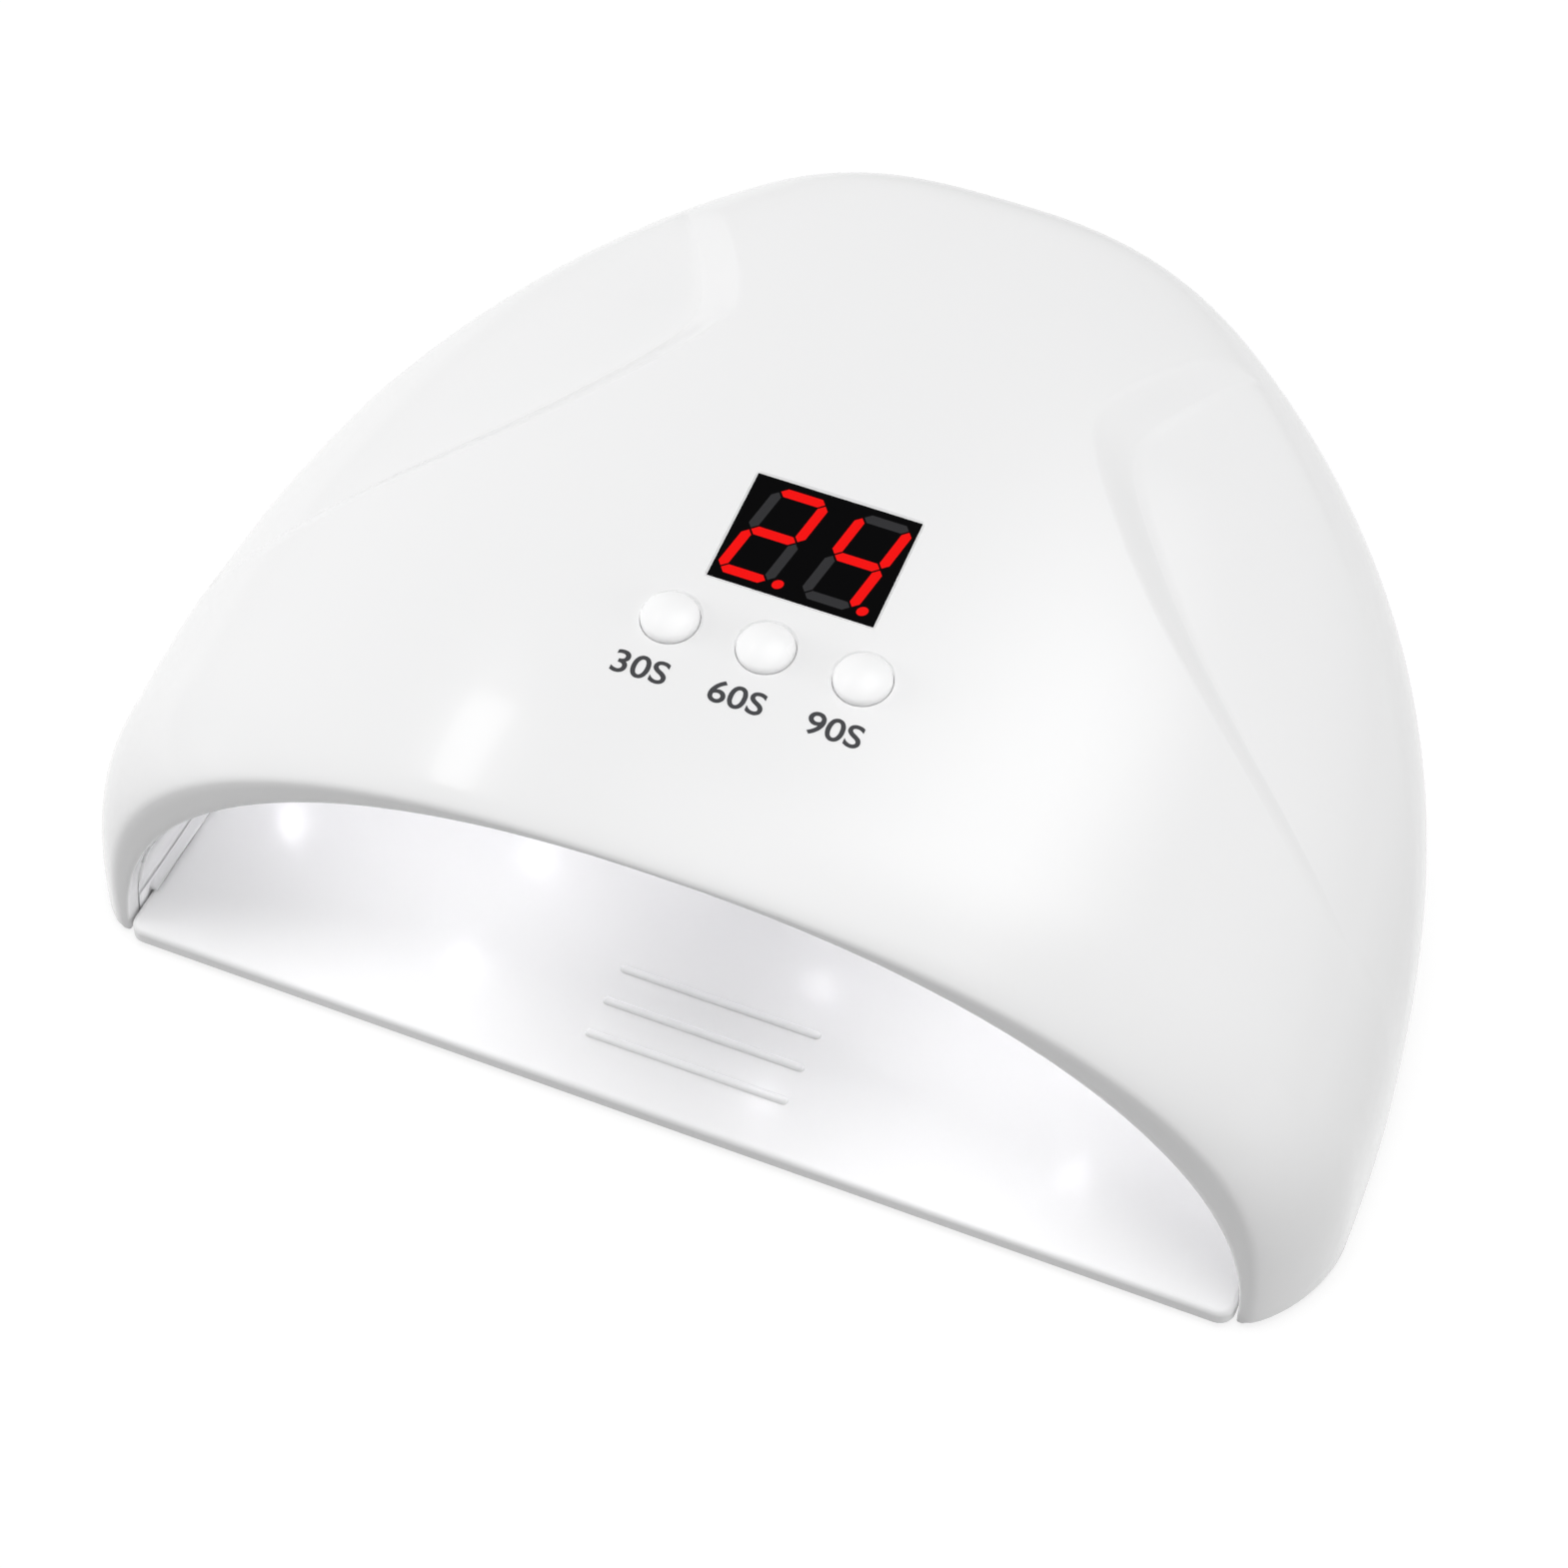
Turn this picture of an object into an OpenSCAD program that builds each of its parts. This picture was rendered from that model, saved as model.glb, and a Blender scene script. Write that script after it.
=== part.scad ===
/* [Housing] */
// Width of the housing at its belly
body_w = 195; // [185:1:205]
// Depth of the housing from its front rim to its back
body_d = 138; // [132:1:150]
// Height of the housing above its own foot
body_h = 74; // [71:0.5:82]
// Distance from the front rim to the widest place
belly_y = 18; // [12:1:26]
// Depth over which the back falls from the crown
back_fall = 16; // [12:1:22]
// Fullness of the plan outline behind the belly
plan_n = 2.4; // [2.2:0.1:2.8]
// Fullness of the back wall seen from the side
back_m = 2.8; // [2.4:0.1:3.2]
// Steepness of the rise from the front rim to the crown
rise_p = 1.65; // [1.5:0.05:1.9]
// Wall thickness of the housing
wall = 2.4; // [2:0.1:2.8]
// How far the surface turns in at the front rim
flare_in = 2; // [1:0.1:2.5]
// Length over which the front rim turns in
flare_len = 15; // [12:0.5:20]

/* [Front opening] */
// How far the belly stands out beyond the opening, each side
belly_out = 10.5; // [10:0.25:13]
// Height of the crown above the opening
crown_rise = 18.5; // [18:0.5:24]
// Fullness of the opening's arch
arch_q = 2.15; // [2:0.05:2.3]
// Width of the rim beside the opening
rim_side = 2.6; // [2:0.1:3.2]
// Height of the rim above the opening
rim_top = 1; // [0.8:0.1:1.6]
// Depth of the solid rim, front to back
rim_t = 3; // [2.5:0.1:4]

/* [Finger recesses] */
// Distance of each recess corner from the middle
recess_x = 28.5; // [24:0.5:34]
// Distance of the recess corner from the front rim
recess_y = 92.5; // [88:0.5:98]
// Front end of the recess
recess_front = 36; // [32:1:44]
// Back end of the recess
recess_back = 114; // [110:1:118]
// Deepest drop from the dome to the recess floor
recess_drop = 2.2; // [1:0.1:2.4]
// Width of the sloping edge at the corner
recess_edge = 5.6; // [4:0.2:7]
// Radius that rounds the recess corner
recess_r = 6; // [4:0.5:9]

/* [Inner reflector] */
// Wall thickness of the reflector
liner_t = 1.4; // [1.2:0.1:1.8]
// Room between the reflector and the back of the housing
back_room = 18; // [17:0.5:24]
// Gap between the reflector's mouth and the top of the opening
mouth_gap = 0.6; // [0.4:0.1:1.2]
// Height that the mouth of the reflector flares up
mouth_rise = 4; // [2:0.5:4.5]
// Thickness of the bottom flange
flange_t = 2; // [1.8:0.1:2.4]
// Gap between the flange and the housing wall
flange_gap = 0.3; // [0.2:0.05:0.5]

/* [Base tray] */
// Full thickness of the tray
tray_t = 2.4; // [2.2:0.1:2.8]
// How far the tray stands in front of the rim
tray_lip = 1.5; // [1:0.1:3]
// Distance from the tray's back edge to the back of the hand space
tray_back = 12; // [8:1:18]
// Running gap round the tray
tray_gap = 0.4; // [0.3:0.05:0.6]
// Thickness of the ledge that carries the tray
ledge_t = 1; // [0.8:0.1:1.2]
// Width of that ledge
ledge_w = 2.6; // [2:0.1:3.2]
// Corner radius of the tray
tray_r = 2.5; // [1.5:0.5:4]
// Number of raised ribs on the tray
rib_count = 3; // [2:1:4]
// Length of each rib
rib_len = 32; // [26:1:40]
// Width of each rib
rib_w = 1.4; // [1:0.1:2]
// Height of each rib
rib_h = 0.6; // [0.4:0.1:1]
// Distance between ribs
rib_pitch = 6.3; // [5:0.1:8]
// Distance of the first rib from the front rim
rib_y = 8; // [6:0.5:12]

/* [Display] */
// Distance of the display centre from the front rim
display_y = 53.5; // [50:0.5:58]
// Width of the display face
display_w = 25; // [24:0.2:26]
// Height of the display face
display_h = 18.8; // [18:0.2:19.4]
// Depth of the display module
display_t = 8; // [7.4:0.2:8.4]
// Gap round the display in its window
display_gap = 0.2; // [0.1:0.05:0.3]
// Height of each digit
digit_h = 16.5; // [15.5:0.1:16.8]
// Width of each digit
digit_w = 8.6; // [8:0.1:8.8]
// Distance between the digits
digit_pitch = 12.7; // [12:0.1:12.8]
// Stroke width of a segment
stroke = 1.5; // [1.2:0.1:1.6]
// Lean of the digits in degrees
digit_lean = 11; // [0:1:11]

/* [Buttons] */
// Diameter of each button cap
button_d = 8.4; // [8:0.2:9.4]
// Gap between a cap and its hole, all round
button_gap = 0.25; // [0.2:0.05:0.4]
// Distance between the buttons
button_pitch = 14.4; // [13.6:0.2:15]
// Distance of the button row below the display centre
button_drop = 17.9; // [17:0.1:18.6]
// How far a cap stands above the housing
button_rise = 1.6; // [1.2:0.1:2]
// Travel of a button
button_travel = 0.5; // [0.3:0.1:0.6]

/* [Power inlet] */
// Diameter of the round snout of the power socket
jack_d = 8; // [7.6:0.2:9]
// Diameter of the socket's bore
jack_bore = 5.6; // [5.4:0.1:6]
// Depth of the socket's bore
jack_depth = 9.5; // [9:0.5:10]
// Diameter of the centre pin
jack_pin_d = 2; // [1.6:0.1:2.5]
// Height of the socket above the housing foot
jack_z = 14; // [12:0.5:18]

/* [Small parts] */
// How far the rubber feet stand below the housing
foot_h = 1; // [0.8:0.1:1.5]
// Room kept round the rubber feet
foot_room = 1.5; // [1.3:0.1:2]
// Thickness of the printed circuit boards
board_t = 1.6; // [1.2:0.1:1.6]
// Room kept round the screw bosses
boss_room = 1.1; // [1:0.1:1.6]
// Diameter of the screw shanks
screw_d = 2.2; // [2:0.1:2.4]
// Diameter of the screw heads
head_d = 4; // [3.8:0.1:4.2]
// Diameter of the round boards under the lamp beads
bead_board_d = 12; // [11:0.5:13]
// Diameter of a lamp bead's lens
bead_d = 5; // [4.6:0.1:5.4]

/* [Hidden] */
$fn = 48;
tiny = 0.01;
joined = 0.2;

// Shape of the sections: exponents at the rim and further back, blended over blend_len
sect_a = [2.4, 2.8];
sect_b = [2.75, 3.1];
blend_len = 60;
opening_w = body_w - 2 * belly_out;
opening_h = body_h - crown_rise;
crown_y = body_d - back_fall;
front_w = opening_w + 2 * (rim_side + flare_in);
front_h = opening_h + rim_top + flare_in;
mid_y = (body_d - tray_lip) / 2;

function sq(t) = t * t;
function clamp(t, lo, hi) = min(max(t, lo), hi);
function smooth(t) = t * t * (3 - 2 * t);
function flare(y) = flare_in * (1 - sqrt(1 - sq(clamp(1 - y / flare_len, 0, 1))));
function arc(t, n) = pow(max(0, 1 - pow(clamp(t, 0, 1), n)), 1 / n);

// Half width and height of the dome y behind its front rim, drawn in by the inset
function half_w(y, inset = 0) = y > belly_y
    ? (body_w / 2 - inset) * arc((y - belly_y) / (body_d - inset - belly_y), plan_n)
    : body_w / 2 - inset - (body_w - front_w) / 2 * sq((belly_y - y) / belly_y) - flare(y);
function top_h(y, inset = 0) = y > crown_y
    ? (body_h - inset) * arc((y - crown_y) / (body_d - inset - crown_y), back_m)
    : body_h - inset - (body_h - front_h) * pow((crown_y - y) / crown_y, rise_p) - flare(y);
function mix(pair, y) = pair[0] + (pair[1] - pair[0]) * smooth(clamp(y / blend_len, 0, 1));
function round_x(w, a, u) = w * sign(cos(u)) * pow(abs(cos(u)), 2 / a);
function round_z(h, b, u) = h * pow(abs(sin(u)), 2 / b);

// The recess edge: how far it lies from the middle, and the share of the full drop there
edge_lean = [0.166, 0.541];
edge_bend = 0.0108;
function edge_x(y) = recess_x + edge_lean[0] * (y - recess_y) - edge_lean[1] * recess_r
    + edge_lean[1] * sqrt(sq(y - recess_y) + sq(recess_r)) + edge_bend * sq(min(y - recess_y, 0));
function recess_share(y) = y < recess_y
    ? pow(clamp((y - recess_front) / (recess_y - recess_front), 0, 1), 0.8)
    : 1 - sq(clamp((y - recess_y) / (recess_back - recess_y), 0, 1));
edge_taper = 0.35;
function edge_width(y) = recess_edge * (edge_taper + (1 - edge_taper) * recess_share(y));
function edge_ratio(y) = let (k = clamp(y, recess_front, recess_back)) min(edge_x(k) / half_w(k), 0.9);
function angle_at(r, y) = acos(pow(clamp(r, 0, 1), mix(sect_a, y) / 2));
function edge_u(y) = angle_at(edge_ratio(y), y);
function floor_ratio(y) = min(edge_ratio(y) + edge_width(y) / half_w(clamp(y, 0, recess_back)), 0.97);
function floor_u(y) = angle_at(floor_ratio(y), y);
crease_y = 67;
crease_u = [24.5, 0.7, 8, 60];
function outer_u(y) = clamp(crease_u[0] + crease_u[1] * (y - crease_y), crease_u[2], crease_u[3]);
function recess_part(v, edge, floor, outer) = v > edge ? 0
    : v > floor ? smooth((edge - v) / (edge - floor))
    : clamp((v - outer) / (floor - outer), 0, 1);
function recess_depth(y, u) = let (f = floor_u(y))
    recess_drop * recess_share(y) * recess_part(min(u, 180 - u), edge_u(y), f, min(outer_u(y), f - 1));

// A point of the dome at angle u round its section, pushed in by the recess
function dome_point(y, u, inset = 0) =
    let (a = mix(sect_a, y), b = mix(sect_b, y), w = half_w(y, inset), h = top_h(y, inset))
    let (x = round_x(w, a, u), z = round_z(h, b, u))
    let (gx = sign(x) * pow(abs(x) / max(w, tiny), a - 1) / max(w, tiny))
    let (gz = pow(z / max(h, tiny), b - 1) / max(h, tiny), g = max(norm([gx, gz]), tiny / 100))
    let (d = recess_depth(y, u))
    [x - d * gx / g, y - mid_y, foot_h + max(z - d * gz / g, 0)];

// Section angles at one station, with lines along both sides of the recess edge
low_n = 9;
step_n = 2;
high_n = 8;
function side_angles(y) = let (e = edge_u(y), f = floor_u(y))
    concat([for (k = [0:low_n - 1]) f * k / low_n], [for (k = [0:step_n - 1]) f + (e - f) * k / step_n],
        [for (k = [0:high_n]) e + (90 - e) * k / high_n]);
function full_angles(y) = let (s = side_angles(y), n = len(s))
    concat(s, [for (k = [n - 2:-1:0]) 180 - s[k]]);
function spread(from, to, n) = [for (k = [0:n - 1]) from + (to - from) * k / n];

// Distances of the sections from the front rim, closer together at the rim, the corners and the back
mid_stations = concat([flare_len / 3, flare_len * 2 / 3, flare_len], spread(belly_y + 2, recess_front, 2),
    spread(recess_front, recess_y - 8, 6), spread(recess_y - 8, recess_y + 8, 5),
    spread(recess_y + 8, recess_back, 2));
back_n = 8;
function back_stations(end) = [for (k = [0:back_n - 1])
    recess_back + (end - recess_back) * sin(90 * k / back_n)];

function arch_row(y, angles, w, h, q) =
    [for (u = angles) [round_x(w, q, u), y - mid_y, foot_h + round_z(h, q, u)]];

// A bent shell from rows of points across it: outer rows, inner rows and the two end points at the back
module lofted_shell(outer, inner, outer_end, inner_end) {
    rows = len(outer);
    cols = len(outer[0]);
    off = rows * cols;
    far = 2 * off;
    points = concat([for (r = outer) each r], [for (r = inner) each r], [outer_end, inner_end]);
    grid = [for (i = [0:rows - 2], j = [0:cols - 2]) let (p = i * cols + j) each [
        [p, p + cols, p + 1], [p + 1, p + cols, p + cols + 1],
        [off + p, off + p + 1, off + p + cols], [off + p + 1, off + p + cols + 1, off + p + cols]]];
    front = [for (j = [0:cols - 2]) each [[j, j + 1, off + j], [j + 1, off + j + 1, off + j]]];
    feet = [for (i = [0:rows - 2]) let (a = i * cols, b = i * cols + cols - 1) each [
        [a, off + a, a + cols], [off + a, off + a + cols, a + cols],
        [b, b + cols, off + b], [off + b, b + cols, off + b + cols]]];
    last = (rows - 1) * cols;
    back = [for (j = [0:cols - 2]) each [[last + j, far, last + j + 1],
        [off + last + j, off + last + j + 1, far + 1]]];
    end_a = last + cols - 1;
    heel = [[last, off + last, far], [off + last, far + 1, far], [end_a, far, off + end_a],
        [off + end_a, far, far + 1]];
    sides = concat(grid, front, feet, back, heel);
    polyhedron(points = points, faces = [for (f = sides) [f[2], f[1], f[0]]], convexity = 6);
}

module dome_shell() {
    in_end = body_d - wall;
    outer_y = concat([0, rim_t / 2, rim_t + 1], mid_stations, back_stations(body_d));
    inner_y = concat([0, rim_t, rim_t], mid_stations, back_stations(in_end));
    outer = [for (y = outer_y) [for (u = full_angles(y)) dome_point(y, u)]];
    inner = [for (i = [0:len(inner_y) - 1]) let (y = inner_y[i]) i < 2
        ? arch_row(y, full_angles(y), opening_w / 2, opening_h, arch_q)
        : [for (u = full_angles(y)) dome_point(y, u, wall)]];
    lofted_shell(outer, inner, [0, body_d - mid_y, foot_h], [0, in_end - mid_y, foot_h]);
}

// Half width and height of the reflector's inside
liner_back = body_d - back_room;
liner_belly = 0.2 * liner_back;
liner_crown = liner_back - 34;
liner_h = opening_h - mouth_gap - mouth_rise - liner_t;
liner_front = rim_t + tray_gap / 2;
function liner_w(y, grow = 0) = (opening_w / 2 + grow)
    * arc((y - liner_belly) / (liner_back + grow - liner_belly), plan_n);
function liner_top(y, grow = 0) = y > liner_crown
    ? (liner_h + grow) * arc((y - liner_crown) / (liner_back + grow - liner_crown), back_m)
    : liner_h + grow + mouth_rise * sq(clamp((liner_belly - y) / (liner_belly - rim_t), 0, 1));
function liner_point(y, u, grow = 0) =
    [round_x(liner_w(y, grow), arch_q, u), y - mid_y, foot_h + round_z(liner_top(y, grow), arch_q, u)];
function liner_normal(y, u) = let (e = 0.5)
    let (a = liner_point(y, u + e, liner_t) - liner_point(y, u - e, liner_t))
    let (b = liner_point(y + e, u, liner_t) - liner_point(y - e, u, liner_t))
    let (n = cross(b, a)) n / norm(n);
liner_cols = 28;
liner_angles = [for (k = [0:liner_cols]) 180 * k / liner_cols];

module liner_shell() {
    base_y = concat([liner_front], spread(rim_t + 5, liner_belly, 3), spread(liner_belly, liner_crown, 6));
    function rows(grow) = [for (y = concat(base_y, [for (k = [0:7])
        liner_crown + (liner_back + grow - liner_crown) * sin(90 * k / 8)]))
        [for (u = liner_angles) liner_point(y, u, grow)]];
    lofted_shell(rows(liner_t), rows(0), [0, liner_back + liner_t - mid_y, foot_h],
        [0, liner_back - mid_y, foot_h]);
}

// Plan outline of a plate that follows the reflector's wall from the front to the back
plan_n_steps = 24;
function plan_side(from, to, grow) = [for (k = [0:plan_n_steps])
    let (y = from + (to - from) * sin(90 * k / plan_n_steps)) [liner_w(y, grow), y - mid_y]];
module liner_plan(from, to, grow) {
    side = plan_side(from, to, grow);
    polygon(concat(side, [for (k = [plan_n_steps:-1:0]) [-side[k][0], side[k][1]]]));
}
module dome_plan(from, inset) {
    side = [for (k = [0:plan_n_steps]) let (y = from + (body_d - inset - from) * sin(90 * k / plan_n_steps))
        [half_w(y, inset), y - mid_y]];
    polygon(concat(side, [for (k = [plan_n_steps:-1:0]) [-side[k][0], side[k][1]]]));
}

// Screw bosses stand against the inside of the housing wall
tray_d = liner_back - tray_back;
boss_d = belly_out - wall - liner_t - boss_room;
foot_d = belly_out - wall - foot_room;
boss_h = 17;
boss_in = boss_d / 2 + 0.6;
web_t = 1.6;
foot_in = foot_d / 2 + flange_gap + 0.3;
side_boss_y = [0.25, 0.52] * body_d;
back_boss_x = 0.185 * body_w;
side_foot_y = 12;
back_foot_x = 0.256 * body_w;
function wall_y(x) = belly_y + (body_d - wall - belly_y) * arc(x / (body_w / 2 - wall), plan_n);
boss_places = concat([for (s = [-1, 1], y = side_boss_y) [s * (half_w(y, wall) - boss_in), y, 90 - 90 * s]],
    [for (s = [-1, 1]) [s * back_boss_x, wall_y(back_boss_x) - boss_in, 90]]);
foot_places = concat([for (s = [-1, 1]) [s * (half_w(side_foot_y, wall) - foot_in), side_foot_y, 0]],
    [for (s = [-1, 1]) [s * back_foot_x, wall_y(back_foot_x) - foot_in - 1.2, 0]]);
module at_places(places) {
    for (p = places) translate([p[0], p[1] - mid_y, 0]) rotate(p[2]) children();
}

// Frame of the display and its board: x to the right, y up the slope, z out of the housing
panel_tilt = atan((top_h(display_y + 1) - top_h(display_y - 1)) / 2);
module on_panel(x = 0, y = 0, z = 0) {
    translate([0, display_y - mid_y, foot_h + top_h(display_y)]) rotate([panel_tilt, 0, 0])
        translate([x, y, z]) children();
}
face_z = -0.1;
board_top = face_z - display_t;
board_low = board_top - board_t;
board_w = 50;
board_len = 46;
board_y = -4;
post_x = board_w / 2 - 3;
post_y = board_len / 2 - 4;
post_d = 6;
post_top = -1.2;
button_x = [-button_pitch, 0, button_pitch];
seat_z = -wall - 0.8;
collar_d = button_d + 2.6;
module at_posts() {
    for (sx = [-1, 1], sy = [-1, 1]) on_panel(sx * post_x, board_y + sy * post_y) children();
}

// The power socket lies along y in the back wall
jack_face = body_d - mid_y;
jack_back = wall + 0.5;
jack_len = back_room - jack_back - liner_t - 0.7;
jack_body = [9, 11];
pin_root = [3, 2];
module at_jack() {
    translate([0, jack_face, foot_h + jack_z]) rotate([90, 0, 0]) children();
}

module top_housing() color([0.95, 0.95, 0.96]) {
    difference() {
        union() {
            dome_shell();
            at_places(boss_places) translate([0, 0, foot_h + flange_t + tiny]) {
                cylinder(d = boss_d, h = boss_h);
                translate([0, -web_t / 2, 0]) cube([boss_in + wall / 3, web_t, boss_h]);
            }
            for (x = button_x) on_panel(x, -button_drop, seat_z)
                cylinder(d = collar_d + 1, h = post_top - seat_z);
            at_posts() translate([0, 0, board_top]) cylinder(d = post_d, h = post_top - board_top);
        }
        at_places(boss_places) translate([0, 0, foot_h]) cylinder(d = screw_d - joined, h = boss_h - 3);
        at_posts() translate([0, 0, board_top - tiny]) cylinder(d = screw_d - joined, h = 5);
        on_panel(-display_w / 2 - display_gap, -display_h / 2 - display_gap, -wall - 2)
            cube([display_w + 2 * display_gap, display_h + 2 * display_gap, wall + 4]);
        for (x = button_x) on_panel(x, -button_drop, -wall - 3)
            cylinder(d = button_d + 2 * button_gap, h = wall + 6);
        at_jack() translate([0, 0, -2]) cylinder(d = jack_d + joined, h = wall + 4);
    }
}

bead_turns = [22, 55, 90, 125, 158];
bead_rows = [0.317, 0.517, 0.7] * liner_back;
back_bead_y = 0.842 * liner_back;
bead_spots = concat([for (y = bead_rows, u = bead_turns) [y, u]], [for (u = [45, 90, 135]) [back_bead_y, u]]);
pad_h = 1;
bead_board_t = 1;
module at_bead(spot) {
    n = liner_normal(spot[0], spot[1]);
    translate(liner_point(spot[0], spot[1], liner_t)) rotate([0, acos(n[2]), atan2(n[1], n[0])]) children();
}

sensor_y = 15;
sensor_x = 6;
sensor_top = foot_h + liner_top(sensor_y, liner_t) + 2;
sensor_d = 5;
sensor_plate = [24, 8, 1.2];

// The tray runs between the ledge below and a narrow guide above
ledge_end = 2;
guide_t = 1;
guide_w = 1.5;
guide_end = 10;

module reflector_liner() color([0.86, 0.88, 0.92]) {
    difference() {
        union() {
            liner_shell();
            translate([0, 0, foot_h]) linear_extrude(flange_t) difference() {
                dome_plan(liner_front, wall + flange_gap);
                liner_plan(0, liner_back, 0);
            }
            translate([0, 0, foot_h]) linear_extrude(ledge_t) difference() {
                liner_plan(liner_front, liner_back + joined, joined);
                liner_plan(0, tray_d - ledge_end, -ledge_w);
            }
            translate([0, 0, foot_h + tray_t + tray_gap]) linear_extrude(guide_t) difference() {
                liner_plan(liner_front + rim_t, tray_d - guide_end, joined);
                liner_plan(0, tray_d, -guide_w);
            }
            for (spot = bead_spots) at_bead(spot) translate([0, 0, -liner_t / 2])
                cylinder(d = bead_board_d, h = liner_t / 2 + pad_h);
        }
        for (spot = bead_spots) at_bead(spot) translate([0, 0, -6]) cylinder(d = bead_d + 0.6, h = 12);
        at_places(boss_places) translate([0, 0, foot_h - 1]) {
            cylinder(d = screw_d + 0.4, h = flange_t + 2);
            cylinder(d = head_d + 0.4, h = 2.2);
        }
        at_places(foot_places) translate([0, 0, foot_h - 1]) cylinder(d = foot_d + joined, h = 1.8);
        for (s = [-1, 1]) translate([s * sensor_x, sensor_y - mid_y, foot_h + liner_h - 3])
            cylinder(d = sensor_d + 0.3, h = 10);
    }
}

// The tray: a plate whose edge runs as a tongue over the ledge
module tray_outline(back, inset) {
    w = opening_w / 2 - inset;
    side = plan_side(belly_y, back, -inset);
    corner = [for (a = [0:15:90])
        [w - tray_r + tray_r * sin(a), -tray_lip + tray_r - tray_r * cos(a) - mid_y]];
    half = concat(corner, side);
    polygon(concat(half, [for (k = [len(half) - 1:-1:0]) [-half[k][0], half[k][1]]]));
}
tray_step = 4;
tray_play = 0.1;
module base_tray() color([0.96, 0.96, 0.97]) {
    low = foot_h + 2 * tray_play;
    tongue = foot_h + ledge_t + 3 * tray_play;
    top = foot_h + tray_t + tray_play;
    translate([0, 0, tongue]) linear_extrude(top - tongue) tray_outline(tray_d, tray_gap);
    translate([0, 0, low]) linear_extrude(tongue - low + tiny) union() {
        tray_outline(tray_d - ledge_end - tray_step, ledge_w + 2 * tray_gap);
        intersection() {
            tray_outline(tray_d, tray_gap);
            translate([-opening_w, -mid_y - 5]) square([2 * opening_w, 5 + rim_t - tray_gap]);
        }
    }
    for (k = [0:rib_count - 1]) translate([0, rib_y + k * rib_pitch - mid_y, top - tiny])
        linear_extrude(rib_h + tiny) union() {
            square([rib_len - rib_w, rib_w], center = true);
            for (s = [-1, 1]) translate([s * (rib_len - rib_w) / 2, 0]) circle(d = rib_w, $fn = 24);
        }
}

// A domed cap with a retaining collar and a stem that stands on the switch
collar_t = 0.8;
collar_z = seat_z - 0.05;
switch_h = 3.4;
stem_z = board_top + switch_h + button_travel + 0.05;
dome_h = 1.1;
button_top = button_rise - 0.2;
module button(x) {
    cap_r = button_d / 2;
    edge_z = button_top - dome_h;
    ball_r = (sq(cap_r) + sq(dome_h)) / (2 * dome_h);
    on_panel(x, -button_drop) rotate_extrude() polygon(concat(
        [[0, stem_z], [1.8, stem_z], [1.8, collar_z - collar_t], [collar_d / 2, collar_z - collar_t],
            [collar_d / 2, collar_z], [cap_r, collar_z], [cap_r, edge_z]],
        [for (k = [1:5]) let (a = asin(cap_r / ball_r) * (1 - k / 6))
            [ball_r * sin(a), button_top - ball_r + ball_r * cos(a)]], [[0, button_top]]));
}
module button_30s() color([0.97, 0.97, 0.98]) button(button_x[0]);
module button_60s() color([0.97, 0.97, 0.98]) button(button_x[1]);
module button_90s() color([0.97, 0.97, 0.98]) button(button_x[2]);

plunger_d = 3.4;
plunger_len = button_travel + 0.6;
switch_w = 6;
module switch_plunger(x) {
    on_panel(x, -button_drop, stem_z - plunger_len) cylinder(d = plunger_d, h = plunger_len);
}
module switch_plunger_30s() color("black") switch_plunger(button_x[0]);
module switch_plunger_60s() color("black") switch_plunger(button_x[1]);
module switch_plunger_90s() color("black") switch_plunger(button_x[2]);
module tact_switches() color([0.75, 0.76, 0.78]) {
    well = plunger_len + button_travel + 0.2;
    for (x = button_x) on_panel(x, -button_drop, board_top) difference() {
        translate([-switch_w / 2, -switch_w / 2, 0]) cube([switch_w, switch_w, switch_h]);
        translate([0, 0, stem_z - board_top - well]) cylinder(d = plunger_d + 0.3, h = well);
    }
}

// Seven-segment digits: bars named by their place, drawn in the plane of the display face
seg_gap = 0.2;
digit_x = [-digit_pitch / 2, digit_pitch / 2];
dot_d = 1.6;
dot_out = 1.7;
seg_deep = 1;
module leaned() {
    multmatrix([[1, tan(digit_lean), 0, 0], [0, 1, 0, 0], [0, 0, 1, 0]]) children();
}
module bar(len) {
    h = stroke / 2;
    l = len / 2 - seg_gap;
    polygon([[-l, 0], [-l + h, h], [l - h, h], [l, 0], [l - h, -h], [-l + h, -h]]);
}
module segment(name) {
    w = digit_w - stroke;
    h = (digit_h - stroke) / 2;
    if (name == "a") translate([0, h]) bar(w);
    if (name == "g") bar(w);
    if (name == "d") translate([0, -h]) bar(w);
    if (name == "b") translate([w / 2, h / 2]) rotate(90) bar(h);
    if (name == "c") translate([w / 2, -h / 2]) rotate(90) bar(h);
    if (name == "e") translate([-w / 2, -h / 2]) rotate(90) bar(h);
    if (name == "f") translate([-w / 2, h / 2]) rotate(90) bar(h);
    if (name == "dot") translate([w / 2 + dot_out, -h]) circle(d = dot_d, $fn = 24);
}
shown = [["a", "b", "g", "e", "d", "dot"], ["f", "g", "b", "c", "dot"]];
dark = [["f", "c"], ["a", "d", "e"]];
module segments(sets) {
    on_panel(0, 0, face_z - seg_deep) linear_extrude(seg_deep)
        for (i = [0, 1], s = sets[i]) translate([digit_x[i], 0]) leaned() segment(s);
}
module lit_segments() color([0.9, 0.1, 0.08]) segments(shown);
module unlit_segments() color([0.2, 0.2, 0.21]) segments(dark);
module display_module() color([0.03, 0.03, 0.03]) difference() {
    on_panel(-display_w / 2, -display_h / 2, board_top) cube([display_w, display_h, display_t]);
    segments(shown);
    segments(dark);
}

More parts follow.
